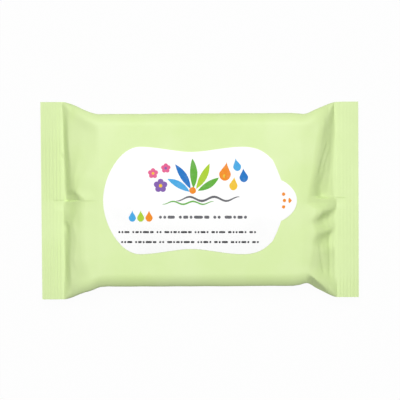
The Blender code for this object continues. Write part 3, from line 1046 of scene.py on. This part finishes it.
def label_material():
    material, shader, place = new_material("label", 0.34, Specular_IOR_Level=0.45, Coat_Roughness=0.22)
    patches = place.node("ShaderNodeTexNoise", Vector=place, Scale=LABEL_PATCHES, Detail=3.0, Roughness=0.5)
    fine = place.node("ShaderNodeTexNoise", Vector=place, Scale=LABEL_GRAIN, Detail=3.0, Roughness=0.6)
    drive(shader, "Base Color", patches.stepped(0.40, 0.75).mixed(LABEL_WHITE, LABEL_SHADE))
    drive(shader, "Roughness", 0.30 + 0.08 * patches + 0.04 * fine)
    drive(shader, "Coat Weight", 0.12 + 0.08 * patches)
    drive(shader, "Normal", relief(0.6 * patches + 0.4 * fine, 0.05, 0.0003))
    return material


def ink_material():
    material, shader, place = new_material("ink", 0.55, Specular_IOR_Level=0.12, Coat_Roughness=0.22)
    ink_colour = place.node("ShaderNodeVertexColor", {"layer_name": "ink"})
    grain = place.node("ShaderNodeTexNoise", Vector=place, Scale=INK_GRAIN, Detail=3.0, Roughness=0.6)
    colours = {"i6": ink_colour, "i7": LABEL_WHITE}
    lighter = place.node("ShaderNodeMix", {"data_type": "RGBA"}, output=2, i0=THIN_INK, **colours)
    drive(shader, "Base Color", grain.stepped(0.42, 0.72).mixed(ink_colour, lighter))
    drive(shader, "Roughness", 0.50 + 0.10 * grain)
    drive(shader, "Coat Weight", 0.01 + 0.02 * grain)
    return material


label.data.materials.append(label_material())
ink.data.materials.append(ink_material())

# %% [markdown]
# ## Floor, light and camera
#
# The photograph was taken from nearly straight above on white, in soft light. The floor is white to the
# camera but keeps the pack's shadow. One wide lamp above and a little behind gives the long near side its
# darker band, and the pale world fills the rest.

# %% Floor
FLOOR_SIZE = 6.0
FLOOR_GREY = (0.60, 0.60, 0.60, 1.0)
FLOOR_PLAIN = 0.97
WHITE = (1.0, 1.0, 1.0, 1.0)


def plain_rays(start):
    """1 for the rays that see the background: the camera's, and those of gloss and glass."""
    rays = ("Is Camera Ray", "Is Glossy Ray", "Is Transmission Ray")
    seen, gloss, glass = (start.node("ShaderNodeLightPath", output=ray) for ray in rays)
    return start.maths("MAXIMUM", start.maths("MAXIMUM", seen, gloss), glass)


def floor_material():
    """Matt white. To the camera most of it is plain white, so the pack's shadow only shows faintly."""
    material, shader, place = new_material("floor", 0.9, Specular_IOR_Level=0.2, Base_Color=FLOOR_GREY)
    matt = Value(place.tree, shader.outputs[0])
    plain = place.node("ShaderNodeEmission", Color=WHITE, Strength=1.0)
    surface = place.node("ShaderNodeMixShader", i0=FLOOR_PLAIN * plain_rays(place), i1=matt, i2=plain)
    place.tree.links.new(surface.socket, place.tree.nodes["Material Output"].inputs["Surface"])
    return material


def floor():
    bm = bmesh.new()
    bmesh.ops.create_grid(bm, x_segments=1, y_segments=1, size=FLOOR_SIZE / 2)
    mesh = bpy.data.meshes.new("floor")
    bm.to_mesh(mesh)
    bm.free()
    made = bpy.data.objects.new("floor", mesh)
    bpy.context.scene.collection.objects.link(made)
    made.data.materials.append(floor_material())


floor()

# %% Lamp and world
LAMP_PLACE = (-0.02, 0.60, 2.00)
LAMP_SIZE = 1.2
LAMP_WATTS = 39.6
SKY_STRENGTH = 0.18


def lamp(name, place, size, watts):
    """A square area lamp that faces the pack."""
    data = bpy.data.lights.new(name, "AREA")
    data.size = size
    data.energy = watts
    made = bpy.data.objects.new(name, data)
    made.location = place
    made.rotation_euler = (Vector((0, 0, 0)) - Vector(place)).to_track_quat("-Z", "Y").to_euler()
    bpy.context.scene.collection.objects.link(made)


def white_world(strength):
    """A pale sky: white to the camera and to reflections, and softer as light."""
    world = bpy.data.worlds.new("studio")
    world.use_nodes = True
    tree = world.node_tree
    tree.nodes.remove(tree.nodes["Background"])
    start = Value(tree, None)
    sky = start.node("ShaderNodeBackground", Color=WHITE, Strength=strength)
    white = start.node("ShaderNodeBackground", Color=WHITE, Strength=1.0)
    surface = start.node("ShaderNodeMixShader", i0=plain_rays(start), i1=sky, i2=white)
    tree.links.new(surface.socket, tree.nodes["World Output"].inputs["Surface"])
    bpy.context.scene.world = world


lamp("overhead", LAMP_PLACE, LAMP_SIZE, LAMP_WATTS)
white_world(SKY_STRENGTH)
print("one lamp of", LAMP_WATTS, "W and a sky of strength", SKY_STRENGTH)

# %% Camera
FRAME_WIDTH = 0.2018
LENS = 400.0
SENSOR = 36.0
ELEVATION = 89.0
ROLL = 0.27


def camera():
    """A long lens above the pack, tilted so that the near long side just shows."""
    data = bpy.data.cameras.new("camera")
    data.lens = LENS
    data.sensor_width = SENSOR
    made = bpy.data.objects.new("camera", data)
    bpy.context.scene.collection.objects.link(made)
    tilt = math.radians(ELEVATION)
    target = Vector((0.0, 0.0, MID_HEIGHT))
    reach = FRAME_WIDTH * LENS / SENSOR
    made.location = target + reach * Vector((0.0, -math.cos(tilt), math.sin(tilt)))
    turn = (target - made.location).to_track_quat("-Z", "Y").to_matrix()
    roll = Vector((0.0, 0.0, 1.0))
    made.rotation_euler = (turn @ Matrix.Rotation(math.radians(-ROLL), 3, roll)).to_euler()
    bpy.context.scene.camera = made
    print("camera at", np.round(made.location, 3).tolist())


camera()
bpy.context.scene.view_settings.view_transform = "Standard"
